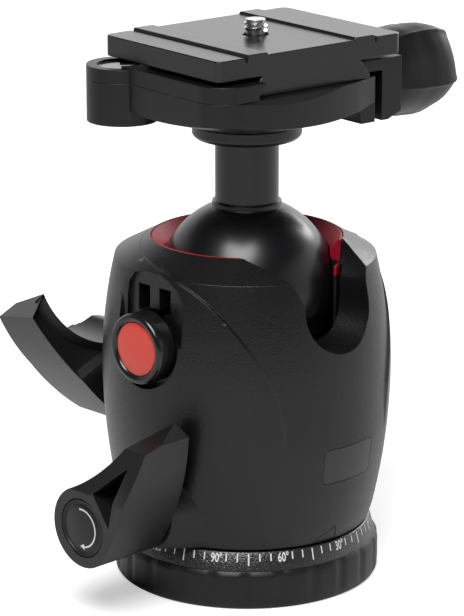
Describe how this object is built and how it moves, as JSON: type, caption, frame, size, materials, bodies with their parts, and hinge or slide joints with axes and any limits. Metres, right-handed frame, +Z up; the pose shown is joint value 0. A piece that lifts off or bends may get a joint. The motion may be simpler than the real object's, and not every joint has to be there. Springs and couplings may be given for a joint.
{
  "type": "tripod ball head",
  "caption": "Tripod ball head with a panning base, a notched barrel housing, locking levers, a stemmed ball and a quick-release clamp with a dovetail plate.",
  "frame": {"origin": "centre of the base's underside, at the mouth of the tripod thread", "axes": "+Z up along the pan axis, +X towards the housing's drop notch, -X towards the main lock lever, -Y towards the pan lever and the portrait selector"},
  "size_m": [0.106, 0.1245, 0.1481],
  "materials": {
    "housing_coat": "black baked coat, fine textured satin",
    "label_black": "satin",
    "dark_plastic": "matte",
    "steel": "plain",
    "bright_steel": "bright zinc",
    "dark_alloy": "black anodised satin",
    "plain_alloy": "machined",
    "grip_rubber": "matte",
    "scale_coat": "black baked coat, fine textured",
    "brass": "machined",
    "seat_plastic": "plain",
    "red_plastic": "satin",
    "red_disc": "gloss",
    "gloss_black": "gloss",
    "lever_plastic": "fine moulded grain",
    "cap_plastic": "matte",
    "ball_anodised": "black hard anodised, satin gloss",
    "clamp_alloy": "black baked coat, satin",
    "level_fluid": "gloss",
    "level_glass": "clear",
    "knob_rubber": "soft touch",
    "plate_anodised": "black anodised matte"
  },
  "bodies": {
    "base": {"base_disc": "dark_alloy", "base_grip_ring": "grip_rubber", "scale_ring": "scale_coat", "thread_insert": "steel", "pan_spindle": "plain_alloy", "base_screws": "steel", "retaining_washer": "steel", "retaining_bolt": "steel"},
    "housing": {"housing": "housing_coat", "label_plate": "label_black", "bottom_cover": "dark_plastic", "cover_screws": "steel", "lift_piston": "brass", "disc_springs": "steel", "lower_seat": "seat_plastic", "upper_seat": "seat_plastic", "red_ring": "red_plastic", "brake_pad": "brass"},
    "selector": {"selector_button": "gloss_black", "selector_ring": "seat_plastic", "selector_disc": "red_disc", "portrait_stop": "red_plastic"},
    "pan_lever": {"pan_lever": "lever_plastic", "pan_lever_cap": "cap_plastic", "pan_lock_screw": "steel"},
    "main_lever": {"main_lever": "lever_plastic", "main_lock_screw": "steel"},
    "friction_dial": {"friction_dial": "cap_plastic"},
    "ball": {"ball_stem": "ball_anodised"},
    "clamp": {"clamp_collar": "dark_alloy", "clamp_body": "clamp_alloy", "clamp_rail": "clamp_alloy", "clamp_bolt": "steel", "level_vial": "level_fluid", "level_lens": "level_glass", "guide_pins": "steel"},
    "jaw": {"clamp_jaw": "clamp_alloy"},
    "knob": {"clamp_knob": "knob_rubber", "draw_bolt": "steel"},
    "plate": {"quick_plate": "plate_anodised"},
    "camera_screw": {"camera_screw": "bright_steel"}
  },
  "joints": [
    {"name": "pan_rotation", "type": "hinge", "parent": "base", "child": "housing", "pos_m": [0, 0, 0.03], "axis": [0, 0, 1], "continuous": true},
    {"name": "selector_slide", "type": "slide", "parent": "housing", "child": "selector", "axis": [0, 0, 1], "range_m": [0, 0.006]},
    {"name": "pan_lever_turn", "type": "hinge", "parent": "housing", "child": "pan_lever", "pos_m": [0, -0.045, 0.025], "axis": [0, -1, 0], "range_deg": [-60, 60]},
    {"name": "main_lever_turn", "type": "hinge", "parent": "housing", "child": "main_lever", "pos_m": [-0.05, 0, 0.043], "axis": [-1, 0, 0], "range_deg": [-60, 50]},
    {"name": "friction_dial_turn", "type": "hinge", "parent": "main_lever", "child": "friction_dial", "pos_m": [-0.064, 0, 0.043], "axis": [-1, 0, 0], "range_deg": [-270, 0]},
    {"name": "ball_tilt", "type": "hinge", "parent": "housing", "child": "ball", "pos_m": [0, 0, 0.0779], "axis": [0, 1, 0], "range_deg": [-35, 90]},
    {"name": "stem_spin", "type": "hinge", "parent": "ball", "child": "clamp", "pos_m": [0, 0, 0.12], "axis": [0, 0, 1], "continuous": true},
    {"name": "plate_slide", "type": "slide", "parent": "clamp", "child": "plate", "axis": [-0.9954, 0.0958, 0], "range_m": [0, 0.06]},
    {"name": "camera_screw_turn", "type": "hinge", "parent": "plate", "child": "camera_screw", "pos_m": [0.00027, 0.00279, 0.14], "axis": [0, 0, 1], "continuous": true},
    {"name": "jaw_slide", "type": "slide", "parent": "clamp", "child": "jaw", "axis": [0.0958, 0.9954, 0], "range_m": [0, 0.0024]},
    {"name": "knob_turn", "type": "hinge", "parent": "jaw", "child": "knob", "pos_m": [0.00431, 0.04479, 0.1286], "axis": [0.0958, 0.9954, 0], "range_deg": [-700, 0]}
  ],
  "couplings": [
    {"joint": "knob_turn", "follows": "jaw_slide", "rad_per_m": -5000}
  ]
}
